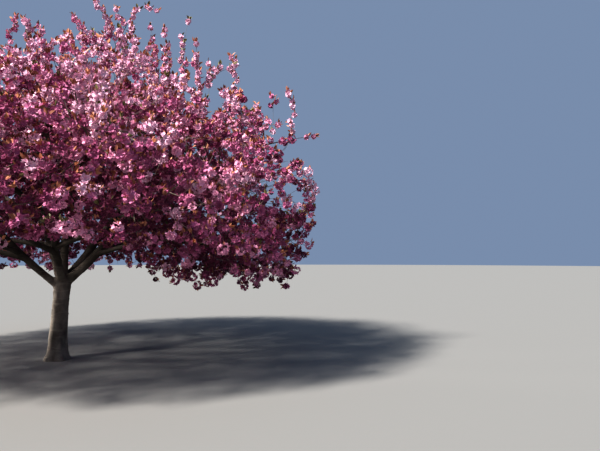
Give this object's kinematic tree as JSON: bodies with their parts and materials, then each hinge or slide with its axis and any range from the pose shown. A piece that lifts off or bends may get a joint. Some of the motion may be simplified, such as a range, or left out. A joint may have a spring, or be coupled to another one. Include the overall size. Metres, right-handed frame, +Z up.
{
  "type": "cherry blossom tree",
  "caption": "Flowering cherry in full pink double blossom: short leaning trunk, spreading limbs and a broad, flat-based domed crown.",
  "frame": {"origin": "centre of the flat cut under the trunk, at ground level", "axes": "+Z up, +X to the right and +Y away from the side that the picture shows"},
  "size_m": [7.7124, 7.6207, 5.6271],
  "materials": {
    "bark": "rough grey-brown bark with pale bands across it",
    "blossom": "matt pink double blossom",
    "leaf": "matt bronze young leaves"
  },
  "bodies": {
    "root": {"blossom_back_high": "blossom", "blossom_back_low_1": "blossom", "blossom_back_low_2": "blossom", "blossom_back_middle_1": "blossom", "blossom_back_middle_2": "blossom", "blossom_back_right_high": "blossom", "blossom_back_right_low_1": "blossom", "blossom_back_right_low_2": "blossom", "blossom_back_right_middle_1": "blossom", "blossom_back_right_middle_2": "blossom", "blossom_front_high": "blossom", "blossom_front_low_1": "blossom", "blossom_front_low_2": "blossom", "blossom_front_middle_1": "blossom", "blossom_front_middle_2": "blossom", "blossom_left_high": "blossom", "blossom_left_low_1": "blossom", "blossom_left_low_2": "blossom", "blossom_left_middle_1": "blossom", "blossom_left_middle_2": "blossom", "blossom_right_high": "blossom", "blossom_right_low_1": "blossom", "blossom_right_low_2": "blossom", "blossom_right_middle_1": "blossom", "blossom_right_middle_2": "blossom", "blossom_top": "blossom", "bough_back_low_1": "bark", "bough_back_low_2": "bark", "bough_back_middle_1": "bark", "bough_back_middle_2": "bark", "bough_back_right_low_1": "bark", "bough_back_right_low_2": "bark", "bough_back_right_middle_1": "bark", "bough_back_right_middle_2": "bark", "bough_front_low_1": "bark", "bough_front_low_2": "bark", "bough_front_middle_1": "bark", "bough_front_middle_2": "bark", "bough_left_low_1": "bark", "bough_left_low_2": "bark", "bough_left_middle_1": "bark", "bough_left_middle_2": "bark", "bough_right_low_1": "bark", "bough_right_low_2": "bark", "bough_right_middle_1": "bark", "bough_right_middle_2": "bark", "leader": "bark", "limb_back": "bark", "limb_back_right": "bark", "limb_front": "bark", "limb_left": "bark", "limb_right": "bark", "trunk": "bark"}
  },
  "joints": []
}
